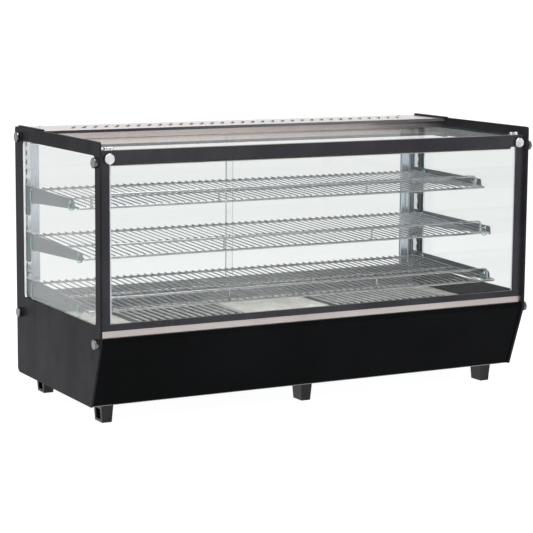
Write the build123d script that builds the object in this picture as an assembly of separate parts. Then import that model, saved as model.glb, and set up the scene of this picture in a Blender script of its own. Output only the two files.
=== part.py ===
from build123d import *
import math
import os

"""Counter-top heated bakery display case, built piece by piece.

Millimetres, +Z up, the front faces -Y. While a piece is built, y is measured backwards from the
front edges of the side panels; save() moves every piece so that the case is centred on the origin
and stands on z = 0.
"""

# ---- overall sizes -------------------------------------------------------------------------
WIDTH = 1215.0
HALF = WIDTH / 2
DEPTH = 542.0
HEIGHT = 686.0
FOOT_HEIGHT = 49.0
CONTROL_REACH = 20.0
Y_MID = (DEPTH + CONTROL_REACH) / 2

# ---- sheet, glass and gaps -----------------------------------------------------------------
PANEL = 5.0
GLASS = 5.0
SHEET = 1.5
GAP = 0.3
INNER = HALF - PANEL
FIT = INNER - 0.2

# ---- side panels ---------------------------------------------------------------------------
RAKE_TOP = 211.0
RAKE_BACK = 59.0
WINDOW = (27.3, 485.9, 251.5, 652.4)
WINDOW_RADIUS = 11.0
FRONT_ROUND = 7.0
HEEL_ROUND = 15.0
REAR_ROUND = 8.0

# ---- front frame ---------------------------------------------------------------------------
FRAME_FACE = 12.0
FRAME_THICK = 6.2
STILE_INNER = 577.0
BAR_LOW = 634.2
BAR_UNDER = 643.0
BAR_TOP = 664.3
BAR_DEPTH = 18.0
RAIL_LOW = 239.2
RAIL_TOP = 255.0
RAIL_GROOVES = (244.4, 249.6)
GROOVE = (0.9, 1.2)
TRIM = (222.8, 239.0)
TRIM_FACE = 10.5
TRIM_RETURN = 4.0
LOWER_INSET = 4.3
LOWER_FLANGES = (17.7, 30.0)
GLASS_FACE = FRAME_FACE + FRAME_THICK + GAP
SEAL_WIDTHS = {"left": 5.2, "right": 2.2}
SEAL_THICK = 1.8
FRONT_PANE = (590.0, 245.0, 642.5)
SIDE_PANE = (24.0, 241.0)

# ---- chamber -------------------------------------------------------------------------------
DECK = 200.0
SILL = 248.0
TOP_GLASS = 656.0
TOP_GLASS_BACK = 400.0
CANOPY_FRONT = 385.0
CANOPY_TOP = 684.2
CANOPY_REAR = 541.0
CANOPY_LIP = 661.4
CANOPY_SKIRT = 641.0
CANOPY_SCREWS = (-543.0, 543.0)
END_TRIM = (8.0, 4.7)
END_TRIM_Y = (371.0, 531.0)
VENT_ROWS = (452.0, 478.0)
VENT_PITCH = 30.4
VENT_COUNT = 33
VENT_HOLE = 4.2
POST_FACE = 500.0
POST_X = 590.3
POST_WIDTH = 24.0
POST_DEPTH = 11.5
POST_TOP = 655.4
SLOT_PITCH = 24.0
SLOT_FIRST = 213.0
SLOT_COUNT = 19
SLOT = (3.0, 14.0)

# ---- lamp ----------------------------------------------------------------------------------
LAMP_Y = (30.6, 50.6)
LAMP_Z = (628.0, 655.0)
LAMP_HALF = 572.0
LAMP_WALL = 2.0

# ---- shelves -------------------------------------------------------------------------------
# top: a bracket's rear upper corner; fall, front, rear: how far the front upper corner, the front
# lower corner and the root lie below it; end, hole: front end, and drop of its large hole;
# rod, drop: depth of the shelf's front rod, and how far below top it lies; guard: half length
SHELVES = {
    "top": dict(top=538.0, fall=5.0, front=28.0, rear=42.0, end=190.0, hole=11.5,
                rod=165.5, drop=25.2, guard=554.8),
    "middle": dict(top=418.0, fall=8.0, front=29.5, rear=43.0, end=142.0, hole=14.0,
                   rod=137.0, drop=23.9, guard=554.8),
    "bottom": dict(top=298.0, fall=11.0, front=34.0, rear=45.0, end=141.0, hole=17.5,
                   rod=109.0, drop=28.7, guard=560.0),
}
TILT = 2.4
ROD = 3.0
WIRE = 1.5
WIRE_PITCH = 20.0
WIRE_COUNT = 58
RING_X = 586.2
RING_CORNER = 6.0
REAR_ROD = 486.0
WIRE_END = 491.0
GUARD_RISE = 31.5
GUARD_POST_X = 214.6
GUARD_POST = 2.4
TAB_WIDTH = 26.0
TAB_DROP = 76.0
TOE = 4.0
REAR_HOLE = (466.5, 8.5)
FRONT_HOLE = 21.0
BIG_HOLE = 4.5
SMALL_HOLE = 1.8
SMALL_STEP = 23.0
SMALL_DROP = 2.0
LEDGE_WIDTH = 11.0
LEDGE_START = 30.0
LEDGE_END = 440.0
HOOKS = (13.0, 61.0)
TIE = 1.3

# ---- rear doors ----------------------------------------------------------------------------
JAMB_INNER = 573.0
DOOR_OUTER = 570.0
DOOR_LAP = 12.0
DOOR_LOW = SILL + 2.3
DOOR_HIGH = 648.0
TRACK_FACE = 516.0
TRACK_WEB = 2.0
TRACK_SLOT = 7.0
TRACK_LOW = (SILL + 0.2, SILL + 10.0)
TRACK_HIGH = (653.0, 640.0)
STILE = (546.0, 568.0)
STILE_Z = (260.0, 637.0)

# ---- base pans -----------------------------------------------------------------------------
PAN_FRONT = 64.0
PAN_TURN = 15.0
INTAKE_HALF = 50.0
DECK_HOLES_X = (-520.0, -480.0, -440.0, 560.0)
DECK_HOLES_Y = (299.0, 430.0)
DECK_HOLE = 6.5

# ---- ribbed vent covers: left edge, slotted ribs, plain ribs -------------------------------
COVERS = {"left": (-392.0, 10, 4), "right": (188.0, 4, 12)}
COVER_Y = (272.0, 492.0)
RIB_PITCH = 22.0
RIB_RADIUS = 5.5
COVER_EDGE = 5.0
COVER_SLOT = 9.0
DECK_SLOT = 11.0
COVER_ROUND = 16.0
RIB_END = 12.0

# ---- knobs, feet, fans, controls -----------------------------------------------------------
KNOB = 12.5
KNOB_REACH = 12.0
WASHER = 2.5
STUD = 2.95
SIDE_KNOBS = [(13.5, 637.0), (508.0, 661.0), (15.5, 210.0), (508.0, 210.5)]
FRONT_KNOB = (580.5, 645.8)
CLIP_X = (559.0, 590.0)
CLIP_Y = 22.0
FOOT = (32.3, 50.0)
FOOT_TAPER = 4.0
FEET_X = (-551.2, 0.0, 551.2)
FEET_Y = (115.4, 491.2)
SCREW = 3.0
FAN_SIZE = 120.0
FAN_DEPTH = 25.0
FAN_BORE = 57.0
FAN_X = {"left": -280.0, "right": 236.0}
FAN_Y = 385.0
FAN_BASE = 51.0
HUB = 20.0
PIN = 2.5
RUNNING = 0.05
HEATER_Z = 120.0
HEATER_ROD = 3.25
REAR_FACE = 538.2
REAR_SLOT = (70.0, 5.0)
REAR_SLOT_STEP = (82.0, 13.0)
REAR_SLOT_LOW = 84.0
REAR_SLOT_ROWS = 7
REAR_BANKS = [(-240.0, 3), (120.0, 4)]
REAR_SCREWS_X = (-590.0, -300.0, 90.0, 590.0)
REAR_SCREWS_Z = (66.0, 188.0)
CONTROLS = (-565.0, -335.0, 78.0, 168.0)
PLATE_FACE = REAR_FACE + SHEET + GAP
SWITCHES = {"power": -535.0, "light": -500.0}
SWITCH_Z = 123.0
ROCKER_TILT = 7.0
ROCKER_Y = PLATE_FACE + SHEET - 4.0
THERMOSTAT_X = -445.0
THERMOMETER_X = -378.0
GLAND = (505.0, 88.0)


# ---- helpers -------------------------------------------------------------------------------
def save(name, *solids):
    """Write one node, moved into the case's own frame."""
    moved = [Pos(0, -Y_MID, 0) * solid for solid in solids]
    shape = moved[0] if len(moved) == 1 else Compound(children=moved)
    export_step(shape, f"parts/{name}.step")


def block(x0, x1, y0, y1, z0, z1):
    """Box between two corners."""
    centre = Pos((x0 + x1) / 2, (y0 + y1) / 2, (z0 + z1) / 2)
    return centre * Box(x1 - x0, y1 - y0, z1 - z0)


def rod_x(x0, x1, y, z, radius):
    """Round bar along X."""
    return Pos((x0 + x1) / 2, y, z) * Rot(Y=90) * Cylinder(radius, abs(x1 - x0))


def rod_y(x, y0, y1, z, radius):
    """Round bar along Y."""
    return Pos(x, (y0 + y1) / 2, z) * Rot(X=90) * Cylinder(radius, abs(y1 - y0))


def rod_z(x, y, z0, z1, radius):
    """Round bar along Z."""
    return Pos(x, y, (z0 + z1) / 2) * Cylinder(radius, abs(z1 - z0))


def face_of(points):
    """Flat face through a closed list of points."""
    return make_face(Polyline(*points, close=True))


def along_x(face, x0, x1):
    """Profile drawn as (y, z), drawn out from x0 to x1."""
    return Pos(x0, 0, 0) * extrude(Plane.YZ * face, amount=x1 - x0)


def bent(points, thickness):
    """Folded sheet's profile: the line of one face, thickened to its left with mitred corners."""
    ends = [Vector(*p) for p in points]
    runs = [(b - a).normalized() for a, b in zip(ends, ends[1:])]
    lefts = [Vector(-run.Y, run.X) for run in runs]
    offset = [ends[0] + lefts[0] * thickness]
    for place, one, two in zip(ends[1:-1], lefts, lefts[1:]):
        offset.append(place + (one + two) * (thickness / (1 + one.dot(two))))
    offset.append(ends[-1] + lefts[-1] * thickness)
    return face_of([(v.X, v.Y) for v in ends + offset[::-1]])


def round_corners(face, corners):
    """Fillet the face's corners nearest to the given points."""
    for (u, v), radius in corners:
        nearest = min(face.vertices(), key=lambda p: math.hypot(p.X - u, p.Y - v))
        face = fillet(nearest, radius)
    return face


def sweep_rod(path, radius):
    """Round rod along a path."""
    return sweep(Plane(path @ 0, z_dir=path % 0) * Circle(radius), path)


def mirrored(solid):
    """The same piece on the other side of the case."""
    return mirror(solid, about=Plane.YZ)


# ---- outer shell ---------------------------------------------------------------------------
def side_panel():
    """Right-hand end plate with its window, raked front and knob holes."""
    corners = [(0, HEIGHT), (0, RAKE_TOP), (RAKE_BACK, FOOT_HEIGHT), (DEPTH, FOOT_HEIGHT)]
    outline = face_of(corners + [(DEPTH, HEIGHT)])
    rounds = [((0, HEIGHT), FRONT_ROUND), ((DEPTH, FOOT_HEIGHT), HEEL_ROUND)]
    rounds.append(((DEPTH, HEIGHT), REAR_ROUND))
    outline = round_corners(outline, rounds)
    y0, y1, z0, z1 = WINDOW
    window = Pos((y0 + y1) / 2, (z0 + z1) / 2) * RectangleRounded(y1 - y0, z1 - z0, WINDOW_RADIUS)
    plate = along_x(outline - window, INNER, HALF)
    holes = [rod_x(INNER - 1, HALF + 1, y, z, STUD + RUNNING) for y, z in SIDE_KNOBS]
    return plate - holes


def side_glass():
    """Pane behind the window, from the front glass to the shelf post."""
    front, low = SIDE_PANE
    return block(INNER - GLASS, INNER, front, POST_FACE - 0.5, low, TOP_GLASS - GAP)


def front_top_bar():
    """L-shaped bar: its front leg covers the glass's edge."""
    back = FRAME_FACE + BAR_DEPTH
    leg = GLASS_FACE - GAP
    inside = GLASS_FACE + GLASS + 0.2
    low = [(FRAME_FACE, BAR_LOW), (leg, BAR_LOW), (leg, BAR_UNDER), (back, BAR_UNDER)]
    face = face_of(low + [(back, BAR_TOP), (FRAME_FACE, BAR_TOP)])
    bar = along_x(face, -FIT, FIT)
    x, z = FRONT_KNOB
    cuts = [rod_y(side * x, FRAME_FACE - 4, leg + 4, z, STUD + RUNNING) for side in (-1, 1)]
    for start in (-FIT, INNER - GLASS - GAP):
        cuts.append(block(start - 1, start + GLASS + 1, inside, back + 1, BAR_UNDER - 1, TOP_GLASS))
    return bar - cuts


def front_stile():
    low = RAIL_TOP + 0.1
    high = BAR_LOW - 0.1
    return block(STILE_INNER, FIT, FRAME_FACE, FRAME_FACE + FRAME_THICK, low, high)


def front_bottom_rail():
    """Rail with two fine grooves along its face."""
    rail = block(-FIT, FIT, FRAME_FACE, FRAME_FACE + FRAME_THICK, RAIL_LOW, RAIL_TOP)
    deep, high = GROOVE
    bottom = FRAME_FACE + deep
    return rail - [block(-HALF, HALF, FRAME_FACE - 1, bottom, z, z + high) for z in RAIL_GROOVES]


def front_seal(width):
    """Strip of soft edging between the stile and the glass."""
    face = GLASS_FACE - GAP
    low = RAIL_TOP + 0.2
    high = BAR_LOW - 0.2
    return block(STILE_INNER - width, STILE_INNER - 0.1, face - SEAL_THICK, face, low, high)


def front_glass():
    x, low, high = FRONT_PANE
    return block(-x, x, GLASS_FACE, GLASS_FACE + GLASS, low, high)


def top_glass():
    """Pane between the front bar and the canopy."""
    back = FRAME_FACE + BAR_DEPTH + 0.4
    return block(-FIT, FIT, back, TOP_GLASS_BACK, TOP_GLASS, TOP_GLASS + GLASS)


def trim_strip():
    """Brushed channel with short returns at both edges."""
    low, high = TRIM
    inner = TRIM_FACE + TRIM_RETURN
    face = bent([(inner, high), (TRIM_FACE, high), (TRIM_FACE, low), (inner, low)], SHEET)
    return along_x(face, -FIT, FIT)


def lower_front_panel():
    """Folded sheet that follows the rake, set back from the side panels' edges."""
    foot = FOOT_HEIGHT + SHEET + 0.2
    low = RAKE_BACK * (RAKE_TOP - foot) / (RAKE_TOP - FOOT_HEIGHT) + LOWER_INSET
    top = TRIM[0] - GAP
    upper, lower = LOWER_FLANGES
    line = [(LOWER_INSET + upper, top), (LOWER_INSET, top), (LOWER_INSET, RAKE_TOP)]
    line += [(low, foot), (low + lower, foot)]
    return along_x(bent(line, SHEET), -FIT, FIT)


def slots_in(x0, x1, pitch, width, y0, y1, z):
    """Row of cutters for air slots that run front to back."""
    count = int((x1 - x0) / pitch)
    first = (x0 + x1) / 2 - pitch * (count - 1) / 2
    slot = RectangleRounded(width, y1 - y0, width / 2 - 0.01)
    shape = extrude(slot, amount=6.0, both=True)
    return [Pos(first + pitch * i, (y0 + y1) / 2, z) * shape for i in range(count)]


def bottom_pan():
    """Floor of the base, with air slots under the fans and holes for the foot screws."""
    rear = REAR_FACE - 1.0
    line = [(rear, FOOT_HEIGHT + PAN_TURN), (rear, FOOT_HEIGHT), (PAN_FRONT, FOOT_HEIGHT)]
    pan = along_x(bent(line, -SHEET), -FIT, FIT)
    cuts = []
    for x in FAN_X.values():
        ends = (FAN_Y - INTAKE_HALF + 5, FAN_Y + INTAKE_HALF - 5)
        cuts += slots_in(x - INTAKE_HALF, x + INTAKE_HALF, 12.0, 6.0, *ends, FOOT_HEIGHT)
    for x in FEET_X:
        cuts += [rod_z(x, y, FOOT_HEIGHT - 5, FOOT_HEIGHT + 5, SCREW + 0.4) for y in FEET_Y]
    return pan - cuts


def deck_pan():
    """Chamber floor: slotted under the vent covers, drilled at the ends, turned up in front."""
    edge = GLASS_FACE + GLASS + SHEET + 0.4
    line = [(CANOPY_REAR, DECK), (edge, DECK), (edge, SIDE_PANE[1] - 0.5)]
    deck = along_x(bent(line, SHEET), -FIT, FIT)
    cuts = []
    for start, slotted, _ in COVERS.values():
        first = start + COVER_EDGE + RIB_PITCH / 2
        last = first + RIB_PITCH * slotted
        cuts += slots_in(first, last, RIB_PITCH, DECK_SLOT, COVER_Y[0] + 20, COVER_Y[1] - 20, DECK)
    for x in DECK_HOLES_X:
        cuts += [rod_z(x, y, DECK - 5, DECK + 5, DECK_HOLE) for y in DECK_HOLES_Y]
    return deck - cuts


def vent_cover(start, slotted, plain):
    """Ribbed plate: rounded ribs from front to back, with open slots beside the first ones."""
    ribs = slotted + plain
    end = start + RIB_PITCH * ribs + 2 * COVER_EDGE
    width = end - start
    y0, y1 = COVER_Y
    low = DECK + 0.2
    outline = Pos((start + end) / 2, (y0 + y1) / 2, low) * RectangleRounded(width, y1 - y0, COVER_ROUND)
    plate = extrude(outline, amount=SHEET)
    first = start + COVER_EDGE + RIB_PITCH / 2
    ends = (y0 + RIB_END, y1 - RIB_END)
    body = rod_y(0, *ends, 0, RIB_RADIUS)
    tips = [Pos(0, y, 0) * Sphere(RIB_RADIUS) for y in ends]
    rib = (body + tips) - block(-20, 20, y0 - 20, y1 + 20, -20, 0)
    plate += [Pos(first + RIB_PITCH * i, 0, low + SHEET / 2) * rib for i in range(ribs)]
    gap = first + RIB_PITCH / 2
    outline = RectangleRounded(COVER_SLOT, y1 - y0 - 40.0, COVER_SLOT / 2 - 0.1)
    slot = Pos(0, (y0 + y1) / 2, low) * extrude(outline, 6.0, both=True)
    return plate - [Pos(gap + RIB_PITCH * i, 0, 0) * slot for i in range(slotted)]


def rear_panel():
    """Rear wall of the base with two banks of air slots and the control opening."""
    low = FOOT_HEIGHT + SHEET + 0.2
    high = DECK - SHEET - 0.5
    wall = block(-FIT, FIT, REAR_FACE, REAR_FACE + SHEET, low, high)
    length, height = REAR_SLOT
    outline = RectangleRounded(length, height, height / 2 - 0.1)
    slot = Rot(X=90) * extrude(outline, 6.0, both=True)
    step_x, step_z = REAR_SLOT_STEP
    cuts = []
    for start, columns in REAR_BANKS:
        for column in range(columns):
            for row in range(REAR_SLOT_ROWS):
                z = REAR_SLOT_LOW + step_z * row
                cuts.append(Pos(start + step_x * column, REAR_FACE, z) * slot)
    x0, x1, z0, z1 = CONTROLS
    cuts.append(block(x0 + 14, x1 - 14, 530, 545, z0 + 14, z1 - 14))
    cuts.append(rod_y(GLAND[0], 530, 545, GLAND[1], 8.3))
    cuts += [rod_y(x, 530, 545, z, 2.1) for x, z in panel_screw_places()]
    return wall - cuts


def panel_screw_places():
    """Screws that hold the rear panel and the control panel, as (x, z)."""
    edge = [(x, z) for x in REAR_SCREWS_X for z in REAR_SCREWS_Z]
    x0, x1, z0, z1 = CONTROLS
    return edge + [(x, z) for x in (x0 + 7, x1 - 7) for z in (z0 + 7, z1 - 7)]


def screw():
    """Pan-head screw: its head stands on z = 0."""
    return rod_z(0, 0, 0, 2.2, 3.6) + rod_z(0, 0, -8.0, 0.5, 2.0)


def sheet_screws():
    """Screws of the rear panel, the control panel that lies over it, and the canopy."""
    screws = []
    for x, z in panel_screw_places():
        on_plate = CONTROLS[0] < x < CONTROLS[1] and CONTROLS[2] < z < CONTROLS[3]
        face = (PLATE_FACE if on_plate else REAR_FACE) + SHEET
        screws.append(Pos(x, face, z) * Rot(X=-90) * screw())
    return screws + [Pos(x, 531.0, CANOPY_TOP) * screw() for x in CANOPY_SCREWS]


# ---- canopy and lamp -----------------------------------------------------------------------
def canopy_cover():
    """Folded stainless cover over the rear of the case, with staggered rows of vent holes."""
    line = [(CANOPY_FRONT, CANOPY_LIP), (CANOPY_FRONT, CANOPY_TOP), (CANOPY_REAR, CANOPY_TOP)]
    line.append((CANOPY_REAR, CANOPY_SKIRT))
    cover = along_x(bent(line, -SHEET), -FIT + 0.6, FIT - 0.6)
    first = -VENT_PITCH * (VENT_COUNT - 1) / 2
    cuts = []
    for row, y in enumerate(VENT_ROWS):
        for i in range(VENT_COUNT):
            x = first + VENT_PITCH * (i + row / 2)
            cuts.append(rod_z(x, y, CANOPY_TOP - 5, CANOPY_TOP + 5, VENT_HOLE))
    cuts += [rod_z(x, 531.0, CANOPY_TOP - 5, CANOPY_TOP + 5, 2.1) for x in CANOPY_SCREWS]
    return cover - cuts


def canopy_floor():
    """Sheet under the canopy; the top glass rests on its front edge."""
    high = TOP_GLASS - GAP
    reach = POST_X - POST_WIDTH / 2 - GAP
    return block(-reach, reach, 391.0, CANOPY_REAR - SHEET - GAP, high - SHEET, high)


def canopy_end_trim():
    """Black edging where the canopy's end meets the side panel."""
    low, high = (CANOPY_TOP + 0.1, CANOPY_TOP + END_TRIM[1])
    return block(INNER - END_TRIM[0], INNER, *END_TRIM_Y, low, high)


def lamp_housing():
    """Channel that opens downwards behind the front bar."""
    y0, y1 = LAMP_Y
    z0, z1 = LAMP_Z
    inner = LAMP_HALF - LAMP_WALL
    shell = block(-LAMP_HALF, LAMP_HALF, y0, y1, z0, z1)
    return shell - block(-inner, inner, y0 + LAMP_WALL, y1 - LAMP_WALL, z0 - 1, z1 - LAMP_WALL)


def lamp_diffuser():
    """Milky bar that closes the lamp's channel."""
    y0, y1 = LAMP_Y
    wall = LAMP_WALL + GAP
    x = LAMP_HALF - wall
    return block(-x, x, y0 + wall, y1 - wall, LAMP_Z[0] - 2.0, LAMP_Z[0] + 2.0)


# ---- posts, tracks and doors ---------------------------------------------------------------
def shelf_post():
    """Slotted channel in the rear corner; the brackets hook into it."""
    x0 = POST_X - POST_WIDTH / 2
    x1 = POST_X + POST_WIDTH / 2
    solid = block(x0, x1, POST_FACE, POST_FACE + POST_DEPTH, DECK + 0.2, POST_TOP)
    channel = solid - block(x0 + SHEET, x1 - SHEET, POST_FACE + SHEET, 560, 0, 700)
    width, height = SLOT
    slots = []
    for i in range(SLOT_COUNT):
        z = SLOT_FIRST + SLOT_PITCH * i
        half = height / 2
        slots.append(block(POST_X - width / 2, POST_X + width / 2, 495, 505, z - half, z + half))
    return channel - slots


def door_jamb():
    """Channel at the end of the door opening, open towards the side panel."""
    solid = block(JAMB_INNER, FIT, TRACK_FACE, DEPTH - 3, DECK + 0.2, TRACK_HIGH[0])
    return solid - block(JAMB_INNER + 2, HALF, TRACK_FACE + 2, DEPTH - 5, 0, 700)


def track_profile(base, tip):
    """Two-channel track: a base with three webs that reach from it to tip."""
    floor = base + (2.0 if tip > base else -2.0)
    low, high = sorted((base, floor))
    reach = sorted((floor, tip))
    step = TRACK_WEB + TRACK_SLOT
    face = Pos(TRACK_FACE + step + 1, (low + high) / 2) * Rectangle(2 * step + 2, high - low)
    for i in range(3):
        web = Rectangle(TRACK_WEB, reach[1] - reach[0])
        face += Pos(TRACK_FACE + 1 + step * i, (reach[0] + reach[1]) / 2) * web
    return face


def door_track(profile):
    return along_x(profile, -JAMB_INNER + GAP, JAMB_INNER - GAP)


def sill_profile():
    """Lower track on two tall legs that stand on the deck."""
    base, tip = TRACK_LOW
    foot = DECK + 0.2
    profile = track_profile(base, tip)
    for i in (0, 2):
        y = TRACK_FACE + TRACK_WEB / 2 + i * (TRACK_WEB + TRACK_SLOT)
        profile += Pos(y, (foot + base + 1) / 2) * Rectangle(TRACK_WEB, base + 1 - foot)
    return profile


def door_y(side):
    """Front face of the door's glass: the right door runs in the front channel."""
    slack = (TRACK_SLOT - GLASS) / 2
    front = TRACK_FACE + TRACK_WEB + slack
    return front if side > 0 else front + TRACK_WEB + TRACK_SLOT


def door_glass(side):
    y = door_y(side)
    xs = sorted((side * DOOR_OUTER, -side * DOOR_LAP))
    return block(*xs, y, y + GLASS, DOOR_LOW, DOOR_HIGH)


def door_stile(side):
    """Aluminium stile round the door's outer edge, with a finger groove."""
    y = door_y(side)
    front, back = (y - 5.0, y + GLASS + 2.4) if side > 0 else (y - 2.4, y + GLASS + 5.0)
    stile = block(STILE[0], STILE[1], front, back, *STILE_Z)
    stile -= block(STILE[0] - 1, STILE[1] + 1, y - 0.1, y + GLASS + 0.1, 0, 700)
    grip = 0.5 * (STILE_Z[0] + STILE_Z[1])
    outer = front if side > 0 else back
    groove = rod_z((STILE[0] + STILE[1]) / 2, outer, grip - 60, grip + 60, 3.2)
    stile -= groove
    return stile if side > 0 else mirrored(stile)


# ---- shelves -------------------------------------------------------------------------------
def bracket(size):
    """Cantilever bracket for the right-hand side: plate, hooks and ledge."""
    top, end = size["top"], size["end"]
    back = POST_FACE - 0.2
    tab = back - TAB_WIDTH
    nose = (end, top - size["fall"])
    toe = (end - TOE, top - size["front"])
    root = (tab, top - size["rear"])
    points = [nose, (back, top), (back, top - TAB_DROP), (tab, top - TAB_DROP), root, toe]
    rounds = [(nose, 3.0), (toe, 3.0), (root, 4.0)]
    rounds += [((tab, top - TAB_DROP), 12.0), ((back, top - TAB_DROP), 3.0)]
    face = round_corners(face_of(points), rounds)
    face -= [Pos(y, z) * Circle(r) for y, z, r in bracket_holes(size)]
    for hook in HOOKS:
        face += hook_profile(back, top - hook)
    plate = along_x(face, POST_X - SHEET / 2, POST_X + SHEET / 2)
    return plate + ledge(size)


def bracket_holes(size):
    """Large and small holes near each end of a bracket, as (y, z, radius)."""
    front_y = size["end"] + FRONT_HOLE
    ends = [(REAR_HOLE[0], -SMALL_STEP, REAR_HOLE[1]), (front_y, SMALL_STEP, size["hole"])]
    holes = []
    for y, step, drop in ends:
        z = size["top"] - drop
        holes += [(y, z, BIG_HOLE), (y + step, z - SMALL_DROP, SMALL_HOLE)]
    return holes


def hook_profile(back, z):
    """Tab that passes a slot and turns down behind the post's web."""
    neck = Pos(back + 2.6, z) * Rectangle(6.0, 9.0)
    tip = Pos(back + 4.2, z - 4.0) * Rectangle(2.8, 17.0)
    return neck + tip


def ring_height(size, y):
    """Height of the shelf frame's centre at depth y."""
    return size["top"] - size["drop"] + (y - size["rod"]) * math.tan(math.radians(TILT))


def ledge(size):
    """Inward lip that the shelf frame lies on, between the two tie loops."""
    under = ROD + 0.1
    ends = (size["end"] + LEDGE_START, LEDGE_END)
    line = [(y, ring_height(size, y) - under) for y in ends]
    return along_x(bent(line, -SHEET), POST_X - SHEET / 2 - LEDGE_WIDTH, POST_X)


def place_shelf(size, solid):
    """Tilt a shelf piece about its front rod and move it to its place."""
    return Pos(0, size["rod"], size["top"] - size["drop"]) * Rot(X=TILT) * solid


def shelf_grid(size):
    """Rod frame with a middle rod, and wires laid over it from front to back."""
    run = (REAR_ROD - size["rod"]) / math.cos(math.radians(TILT))
    path = (Pos(0, run / 2, 0) * RectangleRounded(2 * RING_X, run, RING_CORNER)).wire()
    solids = [sweep_rod(path, ROD)]
    inner = RING_X - ROD - 0.05
    solids.append(rod_x(-inner, inner, run / 2, 0, ROD))
    tail = WIRE_END - REAR_ROD
    first = -WIRE_PITCH * (WIRE_COUNT - 1) / 2
    for i in range(WIRE_COUNT):
        solids.append(rod_y(first + WIRE_PITCH * i, -2.0, run + tail, ROD + WIRE, WIRE))
    return [place_shelf(size, solid) for solid in solids]


def shelf_guard(size):
    """Front guard rail: one bent rod and two short posts, standing on the front rod."""
    half = size["guard"]
    corners = [(-half, 0, ROD), (-half, 0, GUARD_RISE), (half, 0, GUARD_RISE), (half, 0, ROD)]
    solids = [sweep_rod(FilletPolyline(*corners, radius=10.0), ROD)]
    for x in (-GUARD_POST_X, GUARD_POST_X):
        solids.append(rod_z(x, 0, ROD, GUARD_RISE - ROD, GUARD_POST))
    return [place_shelf(size, solid) for solid in solids]


def tie_loop(y, high, low):
    """Closed loop through a bracket's hole, round the shelf frame and under the bracket."""
    outer = POST_X + 3.6
    inner = POST_X - 10.6
    path = RectangleRounded(outer - inner, high - low, 3.5).wire()
    loop = sweep_rod(Rot(X=90) * path, TIE)
    return Pos((outer + inner) / 2, y, (high + low) / 2) * loop


def bracket_ties():
    """Two loops on each bracket, both sides."""
    loops = []
    seat = REAR_HOLE[1] - BIG_HOLE + TIE + 0.2
    for size in SHELVES.values():
        top = size["top"]
        front_y = size["end"] + FRONT_HOLE
        loops.append(tie_loop(REAR_HOLE[0], top - seat, top - size["rear"] - 2.6))
        loops.append(tie_loop(front_y, top - size["hole"], top - size["front"] - 5.0))
    return loops + [mirrored(loop) for loop in loops]


# ---- knobs, clips and feet -----------------------------------------------------------------
def knob():
    """Round cap with softened rim and a short stud; it stands on z = 0 with the stud below."""
    cap = Pos(0, 0, WASHER) * extrude(Circle(KNOB), amount=KNOB_REACH - WASHER)
    rim = cap.faces().sort_by(Axis.Z)[-1].edges()
    cap = fillet(rim, 1.2)
    return cap + rod_z(0, 0, -PANEL + 0.1, WASHER + 0.5, STUD)


def knob_washer():
    disc = extrude(Circle(KNOB - 0.8), amount=WASHER - 0.05)
    return disc - rod_z(0, 0, -1, 5, STUD + RUNNING)


def at_knobs(piece):
    """Copies of a knob piece at all ten places."""
    copies = []
    for y, z in SIDE_KNOBS:
        right = Pos(HALF, y, z) * Rot(Y=90) * piece
        copies += [right, mirrored(right)]
    x, z = FRONT_KNOB
    front = Pos(x, FRAME_FACE, z) * Rot(X=90) * piece
    return copies + [front, mirrored(front)]


def glass_clip():
    """Low clip on the front bar with two raised ends."""
    x0, x1 = CLIP_X
    base = block(x0, x1, CLIP_Y - 7, CLIP_Y + 7, BAR_TOP, BAR_TOP + 2)
    ends = [rod_z(x, CLIP_Y, BAR_TOP, BAR_TOP + 8, 4.6) for x in (x0 + 7, x1 - 7)]
    return base + rod_x(x0 + 3, x1 - 3, CLIP_Y, BAR_TOP + 5, 3.2) + ends


def foot(x, y, side):
    """Tapered foot, hollowed from its outer side."""
    top = Pos(x, y, FOOT_HEIGHT) * Rectangle(*FOOT)
    solid = extrude(top, amount=-FOOT_HEIGHT, taper=FOOT_TAPER)
    near, far = x + side * 1.0, x + side * 30.0
    solid -= block(min(near, far), max(near, far), y - 14, y + 14, 7.0, 33.0)
    return solid - rod_z(x, y, 34.0, FOOT_HEIGHT + 1, SCREW + RUNNING)


def feet():
    return [foot(x, y, -1 if x < 0 else 1) for x in FEET_X for y in FEET_Y]


def foot_screws():
    face = FOOT_HEIGHT + SHEET
    screws = []
    for x in FEET_X:
        for y in FEET_Y:
            shank = rod_z(x, y, 36.0, face + 1, SCREW)
            screws.append(shank + rod_z(x, y, face, face + 3.5, 5.5))
    return screws


# ---- warm air ------------------------------------------------------------------------------
def fan_frame(x):
    """Square frame with a round bore, three struts, a hub plate and the rotor's pin."""
    half = FAN_SIZE / 2
    top = FAN_BASE + FAN_DEPTH
    frame = block(x - half, x + half, FAN_Y - half, FAN_Y + half, FAN_BASE, top)
    frame -= rod_z(x, FAN_Y, FAN_BASE - 1, top + 1, FAN_BORE)
    hub = rod_z(x, FAN_Y, FAN_BASE, FAN_BASE + 3, HUB)
    strut = block(0, FAN_BORE + 1, -2, 2, FAN_BASE, FAN_BASE + 3)
    struts = [Pos(x, FAN_Y, 0) * Rot(Z=120 * i) * strut for i in range(3)]
    return frame + hub + struts + rod_z(x, FAN_Y, FAN_BASE, top - 2, PIN)


def fan_rotor(x):
    """Hub with seven pitched blades on the frame's pin."""
    low = FAN_BASE + 3.6
    high = FAN_BASE + FAN_DEPTH - 1
    hub = rod_z(0, 0, low, high, HUB)
    blade = Pos(HUB + 16.0, 0, (low + high) / 2) * Rot(X=32) * Box(34.0, 26.0, 1.8)
    rotor = hub + [Rot(Z=360 / 7 * i) * blade for i in range(7)]
    rotor -= rod_z(0, 0, low - 1, high + 1, PIN + RUNNING)
    return Pos(x, FAN_Y, 0) * rotor


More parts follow.
